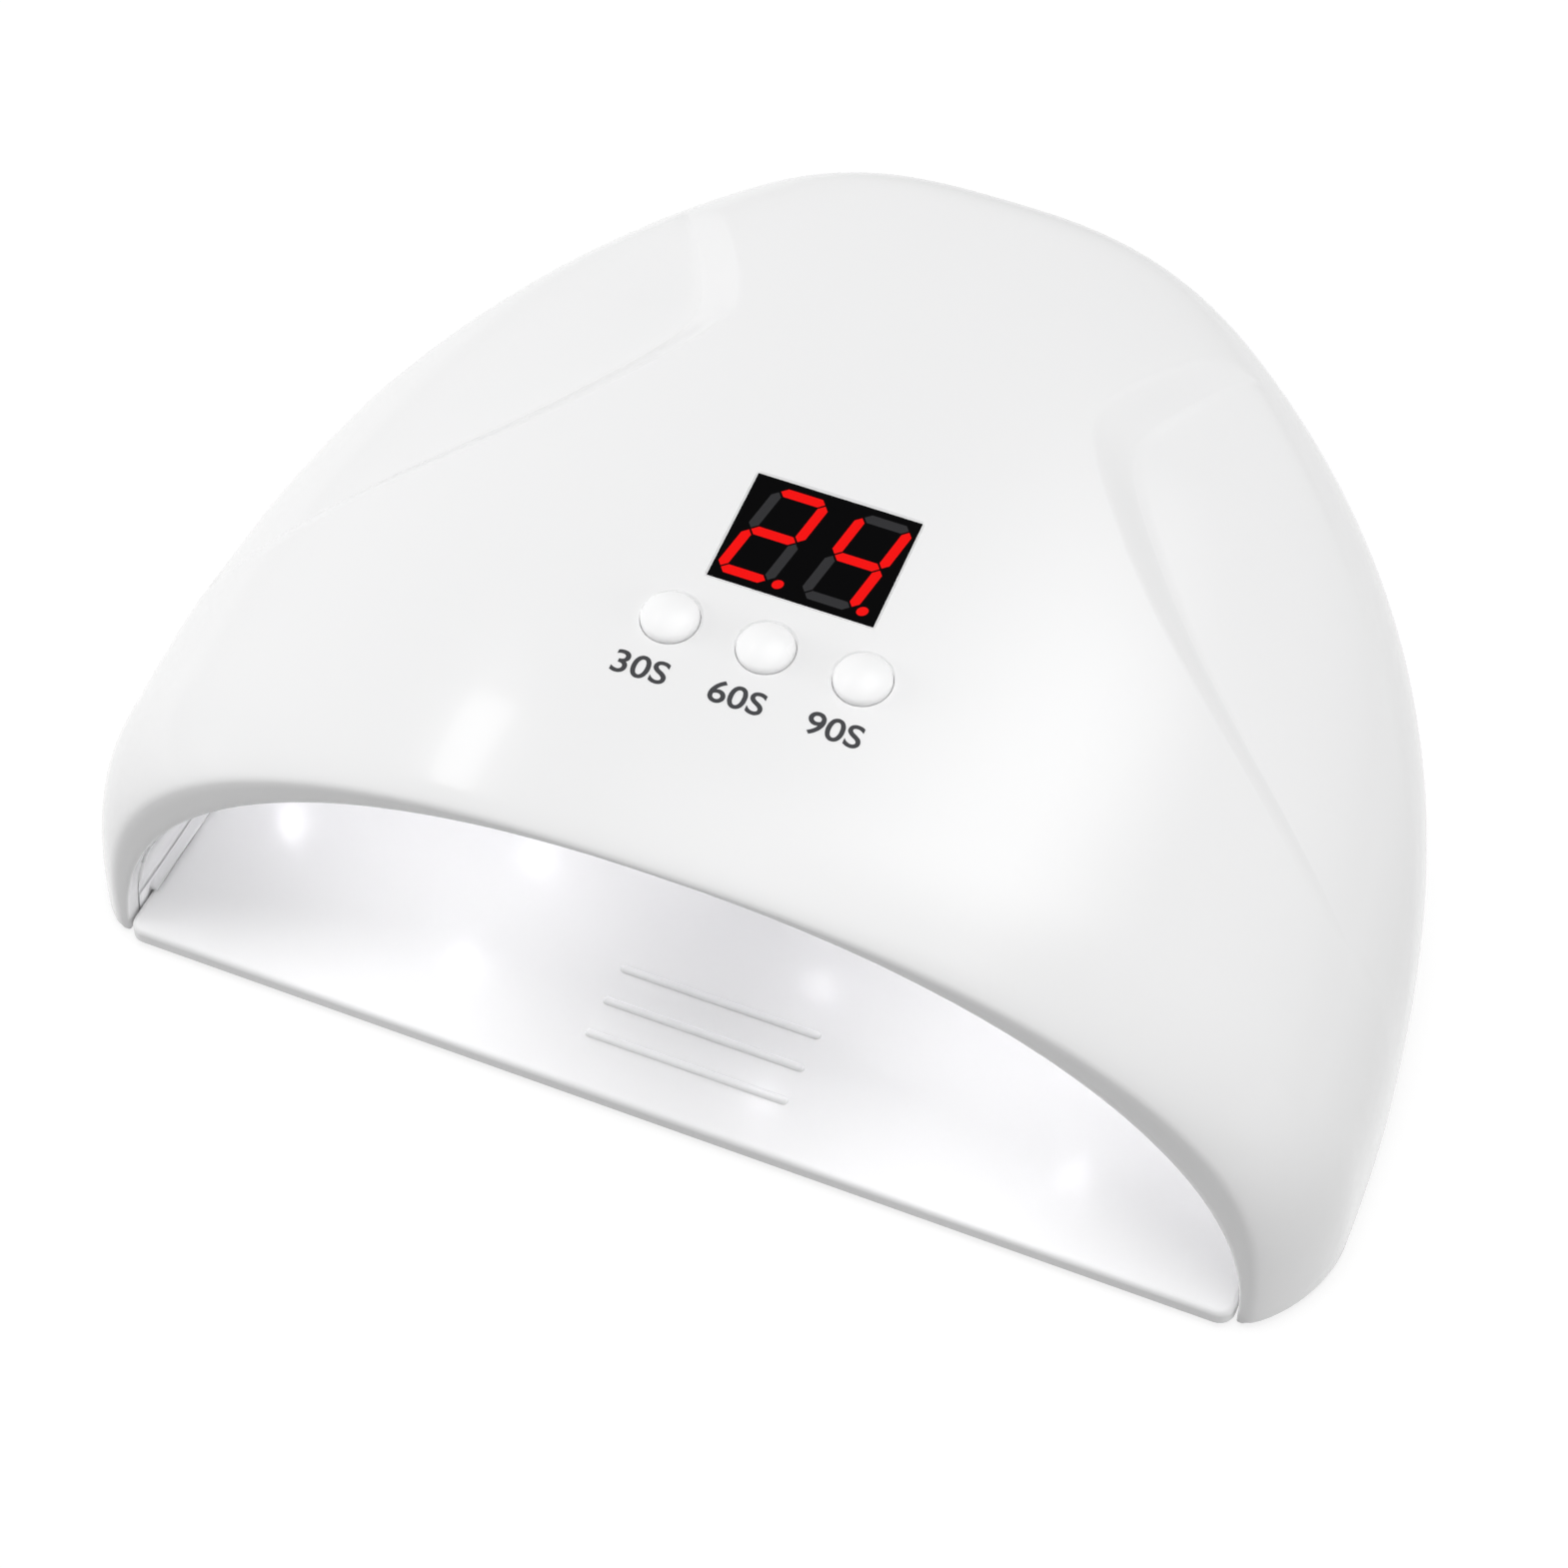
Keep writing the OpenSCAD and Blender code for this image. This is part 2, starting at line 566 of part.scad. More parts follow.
module control_board() color([0.1, 0.4, 0.2]) difference() {
    on_panel(-board_w / 2, board_y - board_len / 2, board_low) cube([board_w, board_len, board_t]);
    at_posts() translate([0, 0, board_low - 1]) cylinder(d = screw_d + 0.3, h = board_t + 2);
}
module board_screws() color([0.7, 0.7, 0.72]) at_posts() {
    translate([0, 0, board_low - 1.2]) cylinder(d = head_d, h = 1.2);
    translate([0, 0, board_low]) cylinder(d = screw_d - joined, h = board_t + 4);
}
chip_size = [10, 4, 1.3];
chip_lead = [0.4, 6, 0.2];
chip_pitch = 1.2;
module control_chip() color([0.08, 0.08, 0.09])
    on_panel(-chip_size[0] / 2, board_y, board_low - chip_size[2] - chip_lead[2]) {
        cube(chip_size);
        for (k = [0:7])
            translate([(k + 0.5) * chip_pitch, (chip_size[1] - chip_lead[1]) / 2, chip_size[2]])
                cube(chip_lead);
    }
driver_size = [6, 5.5, 1.6];
driver_tab = [5, 1, 0.3];
driver_pitch = 8;
module driver_transistors() color([0.12, 0.12, 0.13]) for (k = [0, 1])
    on_panel(k * driver_pitch - post_x + post_d / 2 + 1, board_y + 10, board_low - driver_size[2]) {
        cube(driver_size);
        translate([(driver_size[0] - driver_tab[0]) / 2, driver_size[1], driver_size[2] - driver_tab[2]])
            cube(driver_tab);
    }
// The capacitor lies flat, with its two legs bent up into the board
can_d = 5;
can_len = 11;
leg_d = 0.6;
leg_out = 1.5;
can_drop = can_d / 2 + 0.1;
can_y = board_y + 8;
module smoothing_capacitor() color([0.15, 0.17, 0.3]) on_panel(board_w / 4, can_y, board_low - can_drop) {
    rotate([-90, 0, 0]) cylinder(d = can_d, h = can_len);
    for (x = [-1, 1]) translate([x, -leg_out, 0]) {
        rotate([-90, 0, 0]) cylinder(d = leg_d, h = leg_out + 0.5, $fn = 16);
        translate([0, 0, -leg_d / 2]) cylinder(d = leg_d, h = can_drop + leg_d / 2, $fn = 16);
    }
}
resistor_size = [2, 1.2, 0.5];
resistor_pitch = 6;
resistor_count = 6;
resistor_y = board_y - 8;
module chip_resistors() color([0.1, 0.1, 0.1]) for (k = [0:resistor_count - 1])
    on_panel((k - (resistor_count - 1) / 2) * resistor_pitch - resistor_size[0] / 2, resistor_y,
        board_low - resistor_size[2]) cube(resistor_size);
socket_size = [7.5, 4.5, 3];
socket_wall = 0.8;
socket_slot = 0.4;
socket_x = post_x - socket_size[0] / 2 - 0.8;
module board_sockets() color([0.93, 0.92, 0.88]) for (x = [-socket_x - socket_size[0], socket_x])
    on_panel(x, board_y - 2, board_low - socket_size[2]) difference() {
        cube(socket_size);
        translate([socket_wall, socket_wall, -1])
            cube([socket_size[0] - 2 * socket_wall, socket_size[1] - 2 * socket_wall, socket_size[2]]);
        for (k = [1:4]) translate([(k * socket_size[0] - socket_slot) / 5, -1, -1])
            cube([socket_slot, socket_wall + 1, 1.8]);
    }

module dc_jack() color([0.06, 0.06, 0.07]) difference() {
    union() {
        at_jack() cylinder(d = jack_d, h = wall + 1.6);
        translate([-jack_body[0] / 2, jack_face - jack_back - jack_len, foot_h + jack_z - jack_body[1] / 2])
            cube([jack_body[0], jack_len, jack_body[1]]);
    }
    at_jack() translate([0, 0, -1]) cylinder(d = jack_bore, h = jack_depth + 1);
    at_jack() translate([0, 0, jack_depth - tiny]) cylinder(d = pin_root[0], h = pin_root[1] + 2 * tiny);
}
module dc_jack_pin() color([0.8, 0.8, 0.82]) at_jack() {
    translate([0, 0, 1]) cylinder(d = jack_pin_d, h = jack_depth - 1 + tiny);
    translate([0, 0, jack_depth]) cylinder(d = pin_root[0], h = pin_root[1]);
}

module led_boards() color([0.93, 0.93, 0.9]) for (spot = bead_spots) at_bead(spot) translate([0, 0, pad_h])
    difference() {
        cylinder(d = bead_board_d - 0.6, h = bead_board_t);
        translate([0, 0, -1]) cylinder(d = 1, h = bead_board_t + 2);
    }
module led_beads() color([0.9, 0.85, 0.95]) for (spot = bead_spots) at_bead(spot) rotate_extrude($fn = 24)
    polygon(concat([[0, pad_h], [bead_d / 2, pad_h]], [for (a = [0:15:75])
        [bead_d / 2 * cos(a), -liner_t - bead_d / 2 * sin(a)]], [[0, -liner_t - bead_d / 2]]));

module sensor_board() color([0.1, 0.4, 0.2])
    translate([-sensor_plate[0] / 2, sensor_y - sensor_plate[1] / 2 - mid_y, sensor_top]) cube(sensor_plate);
module sensor_bulb(x) {
    low = foot_h + liner_top(sensor_y, 0) - 1;
    translate([x, sensor_y - mid_y, 0]) rotate_extrude($fn = 24) polygon(concat(
        [[0, sensor_top], [sensor_d / 2, sensor_top]],
        [for (a = [0:15:75]) [sensor_d / 2 * cos(a), low + sensor_d / 2 * (1 - sin(a))]], [[0, low]]));
}
module infrared_emitter() color([0.5, 0.55, 0.75]) sensor_bulb(-sensor_x);
module infrared_receiver() color([0.08, 0.08, 0.1]) sensor_bulb(sensor_x);

head_h = 1.1;
liner_screw_len = 9;
module liner_screws() color([0.7, 0.7, 0.72]) at_places(boss_places) translate([0, 0, foot_h + 0.1]) {
    cylinder(d = head_d, h = head_h);
    cylinder(d = screw_d - joined, h = head_h + liner_screw_len);
}
module rubber_feet() color([0.2, 0.2, 0.21]) at_places(foot_places) cylinder(d = foot_d, h = foot_h + 0.8);

top_housing();
reflector_liner();
base_tray();
button_30s();
button_60s();
button_90s();
switch_plunger_30s();
switch_plunger_60s();
switch_plunger_90s();
tact_switches();
display_module();
lit_segments();
unlit_segments();
control_board();
board_screws();
control_chip();
driver_transistors();
smoothing_capacitor();
chip_resistors();
board_sockets();
dc_jack();
dc_jack_pin();
led_boards();
led_beads();
sensor_board();
infrared_emitter();
infrared_receiver();
liner_screws();
rubber_feet();
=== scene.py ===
from math import acos, asin, atan, cos, pi, radians, sin, sqrt

import bmesh
import bpy
from mathutils import Euler, Matrix, Vector


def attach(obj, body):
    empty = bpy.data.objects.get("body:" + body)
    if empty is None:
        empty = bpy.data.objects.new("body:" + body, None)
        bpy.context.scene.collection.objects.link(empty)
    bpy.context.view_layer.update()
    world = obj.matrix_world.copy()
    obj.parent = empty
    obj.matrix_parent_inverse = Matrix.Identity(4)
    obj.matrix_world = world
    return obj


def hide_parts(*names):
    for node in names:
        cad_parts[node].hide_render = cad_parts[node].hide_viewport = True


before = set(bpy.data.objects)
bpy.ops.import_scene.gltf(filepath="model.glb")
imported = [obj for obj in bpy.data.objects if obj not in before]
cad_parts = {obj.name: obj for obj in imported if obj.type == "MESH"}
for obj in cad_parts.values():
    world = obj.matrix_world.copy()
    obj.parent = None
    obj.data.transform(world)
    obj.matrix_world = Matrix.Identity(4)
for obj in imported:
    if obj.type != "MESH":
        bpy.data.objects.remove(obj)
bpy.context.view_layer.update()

# Driving sizes of the lamp, in millimetres; a station y counts from the housing's front rim
MM = 0.001
BODY_W = 195
BODY_D = 138
BODY_H = 74
WALL = 2.4
FOOT_H = 1
FOOT_R = 0.7
TRAY_LIP = 1.5
MID_Y = (BODY_D - TRAY_LIP) / 2

# The dome's outline in plan, its line over the middle and its section
BELLY_Y = 18
CROWN_Y = 122
PLAN_N = 2.4
BACK_M = 2.8
RISE_P = 1.65
SECT_A = (2.4, 2.8)
SECT_B = (2.75, 3.1)
BLEND_LEN = 60

# The opening for the hand, and the lip that flares towards it
OPENING_W = 174
OPENING_H = 55.5
ARCH_Q = 2.15
FRONT_W = OPENING_W + 9.2
FRONT_H = OPENING_H + 3
FLARE_IN = 3.2
FLARE_UP = 2.2
FLARE_LEN = 17
RIM_T = 3
RIM_R = 0.4
RIM_WIDE = 1.4
RIM_END = 1.2

# The finger recesses: the run of their edge, their step and where they fade out
RECESS_X = 28.5
RECESS_Y = 92.5
RECESS_FRONT = 36
RECESS_BACK = 114
RECESS_R = 6
RECESS_LEAN = 0.166
RECESS_TURN = 0.541
RECESS_CURVE = 0.0108
RECESS_OUT = 1.6
RECESS_OUT_LEN = 20
RECESS_DROP = 3.4
RECESS_EDGE = 7
RECESS_NARROW = 0.75
RECESS_FADE = 0.8
STEP_EVEN, STEP_SOFT = 0.8, 0.2
EDGE_MOST = 0.9
FLOOR_MOST = 0.97
OUTER_Y = 67
OUTER_ANGLE = 24.5
OUTER_TURN = 0.7
OUTER_RANGE = (8, 60)

# The reflector's bowl
LINER_H = 49.5
LINER_BELLY = 24
LINER_CROWN = 86
LINER_BACK = 120
LINER_FRONT = 3.2
MOUTH_RISE = 4

# The display, the buttons and the power inlet
DISPLAY_Y = 53.5
DISPLAY_W = 25
DISPLAY_H = 18.8
DISPLAY_GAP = 0.2
BUTTON_D = 8.4
BUTTON_GAP = 0.08
BUTTON_PITCH = 14.4
BUTTON_DROP = 17.9
BUTTON_TOP = 1.4
JACK_D = 8
JACK_Z = 14
JACK_GAP = 0.1

TINY = 0.01
MERGE = 1e-6


def clamp(value, low=0.0, high=1.0):
    return min(max(value, low), high)


def smooth(value):
    return value * value * (3 - 2 * value)


def arc(t, n):
    return max(0.0, 1 - clamp(t) ** n) ** (1 / n)


def flare(y, amount):
    return amount * (1 - sqrt(1 - clamp(1 - y / FLARE_LEN) ** 2))


def half_w(y, inset=0.0):
    """Half the width of the dome, y behind its front rim."""
    half = BODY_W / 2 - inset
    if y > BELLY_Y:
        return half * arc((y - BELLY_Y) / (BODY_D - inset - BELLY_Y), PLAN_N)
    return half - (BODY_W - FRONT_W) / 2 * ((BELLY_Y - y) / BELLY_Y) ** 2 - flare(y, FLARE_IN)


def top_h(y, inset=0.0):
    """Height of the dome's middle line above its foot."""
    high = BODY_H - inset
    if y > CROWN_Y:
        return high * arc((y - CROWN_Y) / (BODY_D - inset - CROWN_Y), BACK_M)
    return high - (BODY_H - FRONT_H) * ((CROWN_Y - y) / CROWN_Y) ** RISE_P - flare(y, FLARE_UP)


def mix(pair, y):
    return pair[0] + (pair[1] - pair[0]) * smooth(clamp(y / BLEND_LEN))


def sign(value):
    return (value > 0) - (value < 0)


def round_x(w, a, u):
    return w * sign(cos(u)) * abs(cos(u)) ** (2 / a)


def round_z(h, b, u):
    return h * abs(sin(u)) ** (2 / b)


def edge_x(y):
    """How far the recess edge lies from the middle: two slopes that meet in a bend at RECESS_Y."""
    run = y - RECESS_Y
    out = RECESS_OUT * smooth(clamp(-run / RECESS_OUT_LEN))
    bend = sqrt(run * run + RECESS_R ** 2) - RECESS_R
    return RECESS_X + out + RECESS_LEAN * run + RECESS_TURN * bend + RECESS_CURVE * min(run, 0) ** 2


def recess_share(y):
    """The share of its full depth that a recess has at a station."""
    if y < RECESS_Y:
        return sin(pi / 2 * clamp((y - RECESS_FRONT) / (RECESS_Y - RECESS_FRONT))) ** RECESS_FADE
    return 1 - clamp((y - RECESS_Y) / (RECESS_BACK - RECESS_Y)) ** 2


def edge_ratio(y):
    held = clamp(y, RECESS_FRONT, RECESS_BACK)
    return min(edge_x(held) / half_w(held), EDGE_MOST)


def angle_at(ratio, y):
    return acos(clamp(ratio) ** (mix(SECT_A, y) / 2))


def edge_u(y):
    """The angle round the section at which the step down into the recess starts."""
    return angle_at(edge_ratio(y), y)


def floor_u(y):
    """The angle at which the step reaches the recess's floor."""
    width = RECESS_EDGE * (RECESS_NARROW + (1 - RECESS_NARROW) * recess_share(y))
    return angle_at(min(edge_ratio(y) + width / half_w(clamp(y, 0, RECESS_BACK)), FLOOR_MOST), y)


def outer_u(y):
    """The angle at which the floor has run out into the dome's side."""
    return radians(clamp(OUTER_ANGLE + OUTER_TURN * (y - OUTER_Y), *OUTER_RANGE))


def recess_depth(y, u):
    v = min(u, pi - u)
    edge, floor = edge_u(y), floor_u(y)
    outer = min(outer_u(y), floor - radians(1))
    if v > edge:
        part = 0.0
    elif v > floor:
        part = (edge - v) / (edge - floor)
        part = STEP_EVEN * part + STEP_SOFT * smooth(part)
    else:
        part = clamp((v - outer) / (floor - outer))
    return RECESS_DROP * recess_share(y) * part


def dome_point(y, u, inset=0.0):
    """A point of the dome in millimetres: u is the angle round its section."""
    a, b = mix(SECT_A, y), mix(SECT_B, y)
    w, h = max(half_w(y, inset), TINY), max(top_h(y, inset), TINY)
    x, z = round_x(w, a, u), round_z(h, b, u)
    gx = sign(x) * (abs(x) / w) ** (a - 1) / w
    gz = (z / h) ** (b - 1) / h
    size = max(sqrt(gx * gx + gz * gz), 1e-9)
    drop = recess_depth(y, u)
    return x - drop * gx / size, y - MID_Y, FOOT_H + max(z - drop * gz / size, 0)


def lifted(z):
    """The housing's foot is rounded from FOOT_R above its lowest line, and the lift fades towards the top."""
    return z + FOOT_R * (1 - (z - FOOT_H) / BODY_H)


def dome_z(x, y):
    """Height of the dome over a place in plan, outside the recesses; x and y in the frame."""
    along = y + MID_Y
    a, b = mix(SECT_A, along), mix(SECT_B, along)
    share = clamp(abs(x) / half_w(along))
    return lifted(FOOT_H + top_h(along) * (1 - share ** a) ** (1 / b))


def spread(low, high, count):
    return [low + (high - low) * k / count for k in range(count)]


def stations(runs, bend, back, count):
    """Runs of even stations, each a start and a number, and then count steps that close in on the back."""
    ends = [start for start, _ in runs[1:]] + [bend]
    found = []
    for (start, number), end in zip(runs, ends):
        found += spread(start, end, number)
    return found + [bend + (back - bend) * sin(pi / 2 * k / count) for k in range(count + 1)]


# The frame of the display: x to the right, y up the slope, z out of the housing
TILT = atan((top_h(DISPLAY_Y + 1) - top_h(DISPLAY_Y - 1)) / 2)
PANEL = (Matrix.Translation((0, (DISPLAY_Y - MID_Y) * MM, (FOOT_H + top_h(DISPLAY_Y)) * MM))
         @ Euler((TILT, 0, 0)).to_matrix().to_4x4() @ Matrix.Scale(MM, 4))


# Materials

CLOUD_SCALE = 22.0
GLOSS_CHANGE = 0.15
SKIN_DEPTH = 0.0002
COAT_ROUGH = 0.06
BEAD_GLOW = 7


def node_material(name):
    material = bpy.data.materials.new(name)
    material.use_nodes = True
    nodes = material.node_tree.nodes
    return material, nodes, material.node_tree.links, nodes["Principled BSDF"]


def object_noise(nodes, links, scale, detail=3.0):
    """A noise texture on the piece's own coordinates."""
    coord = nodes.new("ShaderNodeTexCoord")
    noise = nodes.new("ShaderNodeTexNoise")
    noise.inputs["Scale"].default_value = scale
    noise.inputs["Detail"].default_value = detail
    links.new(coord.outputs["Object"], noise.inputs["Vector"])
    return noise.outputs["Fac"]


def add_range(nodes, links, source, target, low, high):
    """Feeds a noise into a socket, as values between low and high."""
    ramp = nodes.new("ShaderNodeMapRange")
    ramp.inputs["To Min"].default_value = low
    ramp.inputs["To Max"].default_value = high
    links.new(source, ramp.inputs["Value"])
    links.new(ramp.outputs["Result"], target)


def add_tint(nodes, links, source, target, colour, change):
    """Feeds a noise into a colour socket, as a slight change of one colour."""
    ramp = nodes.new("ShaderNodeValToRGB")
    for element, factor in zip(ramp.color_ramp.elements, (1 - change, 1 + change)):
        element.color = [min(c * factor, 1) for c in colour] + [1]
    links.new(source, ramp.inputs["Fac"])
    links.new(ramp.outputs["Color"], target)


def add_bump(nodes, links, source, shader, strength, distance):
    bump = nodes.new("ShaderNodeBump")
    bump.inputs["Strength"].default_value = strength
    bump.inputs["Distance"].default_value = distance
    links.new(source, bump.inputs["Height"])
    links.new(bump.outputs["Normal"], shader.inputs["Normal"])


def moulded(name, colour, rough, change=0.006, grain=900.0, bump=0.02, coat=0.0, glow=None, metal=0.0,
            shine=0.5):
    """Moulded plastic, rubber or metal: a slight cloud in the colour, a varied gloss and a fine skin."""
    material, nodes, links, shader = node_material(name)
    cloud = object_noise(nodes, links, CLOUD_SCALE)
    add_tint(nodes, links, cloud, shader.inputs["Base Color"], colour, change)
    add_range(nodes, links, cloud, shader.inputs["Roughness"],
              rough * (1 - GLOSS_CHANGE), rough * (1 + GLOSS_CHANGE))
    skin = object_noise(nodes, links, grain, 2.0)
    add_bump(nodes, links, skin, shader, bump, SKIN_DEPTH)
    shader.inputs["Metallic"].default_value = metal
    shader.inputs["Specular IOR Level"].default_value = shine
    shader.inputs["Coat Weight"].default_value = coat
    shader.inputs["Coat Roughness"].default_value = COAT_ROUGH
    if glow:
        shader.inputs["Emission Color"].default_value = list(glow[0]) + [1]
        shader.inputs["Emission Strength"].default_value = glow[1]
    return material


def lens_material():
    """A lit bead: a clear silicone dome over its chips."""
    material, nodes, links, shader = node_material("bead_lens")
    cloud = object_noise(nodes, links, 400.0)
    add_tint(nodes, links, cloud, shader.inputs["Base Color"], (0.78, 0.72, 0.86), 0.08)
    add_range(nodes, links, cloud, shader.inputs["Roughness"], 0.04, 0.1)
    shader.inputs["Coat Weight"].default_value = 0.6
    shader.inputs["Subsurface Weight"].default_value = 0.2
    shader.inputs["Subsurface Radius"].default_value = (0.002, 0.001, 0.003)
    shader.inputs["Emission Color"].default_value = (0.98, 0.97, 1, 1)
    shader.inputs["Emission Strength"].default_value = BEAD_GLOW
    return material


HOUSING = moulded("gloss_white_housing", (0.88, 0.88, 0.883), 0.17, coat=0.3)
TRAY = moulded("gloss_white_tray", (0.9, 0.9, 0.903), 0.22, coat=0.2)
CAP = moulded("satin_white_cap", (0.955, 0.955, 0.958), 0.28, coat=0.1)
REFLECTOR = moulded("bright_reflector", (0.89, 0.89, 0.9), 0.16, coat=0.3)
BLACK_FACE = moulded("black_display_face", (0.0015, 0.0015, 0.0017), 0.4, change=0.1, bump=0.01,
                     shine=0.02)
LIT = moulded("lit_segment", (0.3, 0.002, 0.002), 0.4, change=0.04, glow=((1.0, 0.006, 0.005), 0.62),
              shine=0.05)
UNLIT = moulded("unlit_segment", (0.022, 0.022, 0.024), 0.4, change=0.06, shine=0.15)
INK = moulded("label_ink", (0.05, 0.051, 0.055), 0.5, change=0.08, shine=0.2)
BLACK = moulded("matt_black_plastic", (0.02, 0.02, 0.022), 0.5, change=0.1, bump=0.1)
RUBBER = moulded("grey_rubber", (0.1, 0.1, 0.105), 0.8, change=0.08, grain=500.0, bump=0.3)
STEEL = moulded("plated_steel", (0.62, 0.62, 0.64), 0.3, change=0.04, metal=1.0)
NICKEL = moulded("nickel_contact", (0.78, 0.77, 0.74), 0.18, change=0.03, metal=1.0)
BOARD = moulded("green_solder_mask", (0.03, 0.17, 0.07), 0.35, change=0.15, grain=300.0, bump=0.15,
                coat=0.3)
BEAD_BOARD = moulded("white_bead_board", (0.8, 0.8, 0.78), 0.4, change=0.03)
SLEEVE = moulded("capacitor_sleeve", (0.03, 0.04, 0.12), 0.3, change=0.08)
NYLON = moulded("natural_nylon", (0.74, 0.71, 0.62), 0.45, change=0.03)
RECEIVER = moulded("dark_lens", (0.02, 0.02, 0.03), 0.08, change=0.05, coat=0.5)
EMITTER = moulded("tinted_lens", (0.36, 0.4, 0.55), 0.08, change=0.03, coat=0.5)
LENS = lens_material()

NODE_MATERIALS = {
    "reflector_liner": REFLECTOR, "base_tray": TRAY, "top_housing": HOUSING,
    "button_30s": CAP, "button_60s": CAP, "button_90s": CAP,
    "switch_plunger_30s": BLACK, "switch_plunger_60s": BLACK, "switch_plunger_90s": BLACK,
    "tact_switches": STEEL, "display_module": BLACK_FACE, "lit_segments": LIT, "unlit_segments": UNLIT,
    "control_board": BOARD, "board_screws": STEEL, "control_chip": BLACK, "driver_transistors": BLACK,
    "smoothing_capacitor": SLEEVE, "chip_resistors": BLACK, "board_sockets": NYLON, "dc_jack": BLACK,
    "dc_jack_pin": NICKEL, "led_boards": BEAD_BOARD, "led_beads": LENS, "sensor_board": BOARD,
    "infrared_emitter": EMITTER, "infrared_receiver": RECEIVER, "liner_screws": STEEL,
    "rubber_feet": RUBBER,
}
for node_name, node_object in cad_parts.items():
    node_object.data.materials.clear()
    node_object.data.materials.append(NODE_MATERIALS[node_name])


# Piece builders

def mesh_of(bm, name):
    mesh = bpy.data.meshes.new(name)
    bm.to_mesh(mesh)
    bm.free()
    return mesh


def add_object(name, data):
    made = bpy.data.objects.new(name, data)
    bpy.context.scene.collection.objects.link(made)
    return made


def shade(mesh, angle):
    """Smooth faces, with edges left sharp where they bend by more than an angle in degrees."""
    mesh.shade_smooth()
    mesh.set_sharp_from_angle(angle=radians(angle))


def finish_piece(name, bm, material, body, angle=35.0):
    """Turns a bmesh into a piece that rides on a body and takes its finish from a slot."""
    mesh = mesh_of(bm, name)
    mesh.materials.append(material)
    shade(mesh, angle)
    piece = add_object(name, mesh)
    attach(piece, body)
    return piece


def grid_surface(rows, cols, place):
    """A grid of rows by cols points, each moved to the place that its row and column give."""
    bm = bmesh.new()
    bmesh.ops.create_grid(bm, x_segments=cols - 1, y_segments=rows - 1, size=1)
    for vert in bm.verts:
        col = round((vert.co.x + 1) / 2 * (cols - 1))
        row = round((vert.co.y + 1) / 2 * (rows - 1))
        vert.co = Vector(place(row, col)) * MM
    return bm


def close_shell(bm):
    """Joins the poles, fills the foot and turns the faces outwards."""
    bmesh.ops.remove_doubles(bm, verts=bm.verts[:], dist=2e-6)
    bmesh.ops.dissolve_degenerate(bm, dist=1e-7, edges=bm.edges[:])
    bmesh.ops.holes_fill(bm, edges=[e for e in bm.edges if e.is_boundary], sides=0)
    bmesh.ops.recalc_face_normals(bm, faces=bm.faces[:])


def cut(piece, cutters):
    """Cuts closed shapes out of a piece and removes them."""
    for cutter in cutters:
        modifier = piece.modifiers.new("cut", "BOOLEAN")
        modifier.operation = "DIFFERENCE"
        modifier.solver = "EXACT"
        modifier.object = cutter
    graph = bpy.context.evaluated_depsgraph_get()
    mesh = bpy.data.meshes.new_from_object(piece.evaluated_get(graph))
    piece.modifiers.clear()
    old = piece.data
    piece.data = mesh
    bpy.data.meshes.remove(old)
    for cutter in cutters:
        bpy.data.objects.remove(cutter)


def cutter_object(bm):
    bmesh.ops.recalc_face_normals(bm, faces=bm.faces[:])
    return add_object("cutter", mesh_of(bm, "cutter"))


CUT_LOW, CUT_HIGH = -6.0, 2.0
WINDOW_CORNER = 0.5
ROUND_STEPS = 72


def extrude_top(bm):
    """Extrudes the highest face, and gives that face and the new points."""
    top = max(bm.faces, key=lambda f: f.calc_center_median().z)
    new = bmesh.ops.extrude_face_region(bm, geom=[top])
    return top, [v for v in new["geom"] if isinstance(v, bmesh.types.BMVert)]


def round_cutter(matrix, radius, ease):
    """A round hole whose mouth at z = 0 is eased by a small chamfer."""
    bm = bmesh.new()
    bmesh.ops.create_circle(bm, cap_ends=True, segments=ROUND_STEPS, radius=radius)
    bmesh.ops.translate(bm, verts=bm.verts[:], vec=(0, 0, CUT_LOW))
    for z, r in ((-ease, radius), (CUT_HIGH, radius + ease + CUT_HIGH)):
        top, verts = extrude_top(bm)
        for vert in verts:
            flat = Vector((vert.co.x, vert.co.y, 0)).normalized() * r
            vert.co = (flat.x, flat.y, z)
        bmesh.ops.delete(bm, geom=[top], context="FACES_ONLY")
    bmesh.ops.transform(bm, matrix=matrix, verts=bm.verts[:])
    return cutter_object(bm)


def window_cutter(matrix, wide, high, ease):
    """A rectangular window with small round corners and an eased mouth."""
    bm = bmesh.new()
    bmesh.ops.create_grid(bm, x_segments=1, y_segments=1, size=0.5)
    bmesh.ops.scale(bm, vec=(wide, high, 1), verts=bm.verts[:])
    bmesh.ops.bevel(bm, geom=bm.verts[:], offset=WINDOW_CORNER, segments=4, profile=0.5,
                    affect="VERTICES", material=-1)
    bmesh.ops.translate(bm, verts=bm.verts[:], vec=(0, 0, CUT_LOW))
    for z, grow in ((-ease, 0), (CUT_HIGH, ease + CUT_HIGH)):
        for vert in extrude_top(bm)[1]:
            vert.co.z = z
            vert.co.x += grow * sign(vert.co.x)
            vert.co.y += grow * sign(vert.co.y)
    bmesh.ops.transform(bm, matrix=matrix, verts=bm.verts[:])
    return cutter_object(bm)


FLAT_ANGLE = 0.4
EASED_ANGLE = 30


def node_copy(node):
    """A copy of a CAD node's mesh, with its loose triangles joined."""
    bm = bmesh.new()
    bm.from_mesh(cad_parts[node].data)
    bmesh.ops.remove_doubles(bm, verts=bm.verts[:], dist=MERGE)
    return bm


def join_flat(bm):
    bmesh.ops.dissolve_limit(bm, angle_limit=radians(FLAT_ANGLE), verts=bm.verts[:], edges=bm.edges[:])


